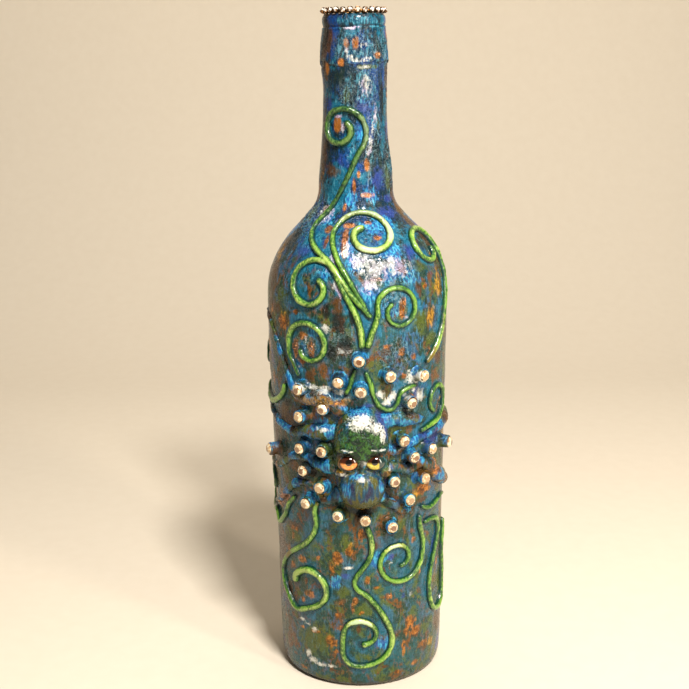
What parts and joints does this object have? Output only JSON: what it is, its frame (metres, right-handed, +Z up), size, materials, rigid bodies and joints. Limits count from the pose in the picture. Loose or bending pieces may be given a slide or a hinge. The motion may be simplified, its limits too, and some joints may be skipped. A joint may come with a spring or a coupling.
{
  "type": "decorative bottle",
  "caption": "Tall cylindrical wine bottle under a painted clay skin, with a relief octopus, curling scrolls and cut stones set on short posts.",
  "frame": {"origin": "on the floor at the middle of the bottle's foot, where its axis meets the plane that the foot stands on", "axes": "+Z up along the bottle's axis to its mouth, -Y out of the creature's face, +X to the viewer's right when facing it"},
  "size_m": [0.0853, 0.0941, 0.3031],
  "materials": {
    "bottle_glass": "clear dark green bottle glass",
    "painted_clay": "wrinkled clay painted teal, blue and brown under a high gloss varnish",
    "painted_head": "modelled clay painted green and blue, varnished",
    "painted_arm": "modelled clay painted blue, gold and brown, varnished",
    "lime_clay": "rolled clay with dry-brushed lime tops, varnished",
    "gilt_chain": "gilt cups with small pale stones",
    "amber_glass": "polished amber glass eyes",
    "cut_stone": "faceted cream resin stones"
  },
  "bodies": {
    "root": {"glass_bottle": "bottle_glass", "clay_skin": "painted_clay", "rim_cup_chain": "gilt_chain", "creature_head": "painted_head", "eye_left": "amber_glass", "eye_right": "amber_glass", "arm_upper_left": "painted_arm", "arm_left": "painted_arm", "arm_lower_left": "painted_arm", "arm_low_left": "painted_arm", "arm_low_right": "painted_arm", "arm_lower_right": "painted_arm", "arm_right": "painted_arm", "arm_upper_right": "painted_arm", "shoulder_spray": "lime_clay", "shoulder_tendril_right": "lime_clay", "body_tendril_left": "lime_clay", "foot_tendril_left": "lime_clay", "foot_tendril_middle": "lime_clay", "foot_tendril_right": "lime_clay", "side_hook_right": "lime_clay", "edge_tendril_left": "lime_clay", "side_loop_left": "lime_clay", "back_tendril_right": "lime_clay", "back_tendril_left": "lime_clay", "back_tendril_low": "lime_clay", "strand_by_stud_left": "lime_clay", "strand_by_stud_right": "lime_clay", "foot_loop_right": "lime_clay", "side_stroke_right": "lime_clay", "stone_01": "cut_stone", "stone_02": "cut_stone", "stone_03": "cut_stone", "stone_04": "cut_stone", "stone_05": "cut_stone", "stone_06": "cut_stone", "stone_07": "cut_stone", "stone_08": "cut_stone", "stone_09": "cut_stone", "stone_10": "cut_stone", "stone_11": "cut_stone", "stone_12": "cut_stone", "stone_13": "cut_stone", "stone_14": "cut_stone", "stone_15": "cut_stone", "stone_16": "cut_stone", "stone_17": "cut_stone", "stone_18": "cut_stone", "stone_19": "cut_stone", "stone_20": "cut_stone", "stone_21": "cut_stone", "stone_22": "cut_stone", "stone_23": "cut_stone", "stone_24": "cut_stone", "stone_25": "cut_stone", "stone_26": "cut_stone", "stone_27": "cut_stone", "stone_28": "cut_stone", "stone_29": "cut_stone"}
  },
  "joints": []
}
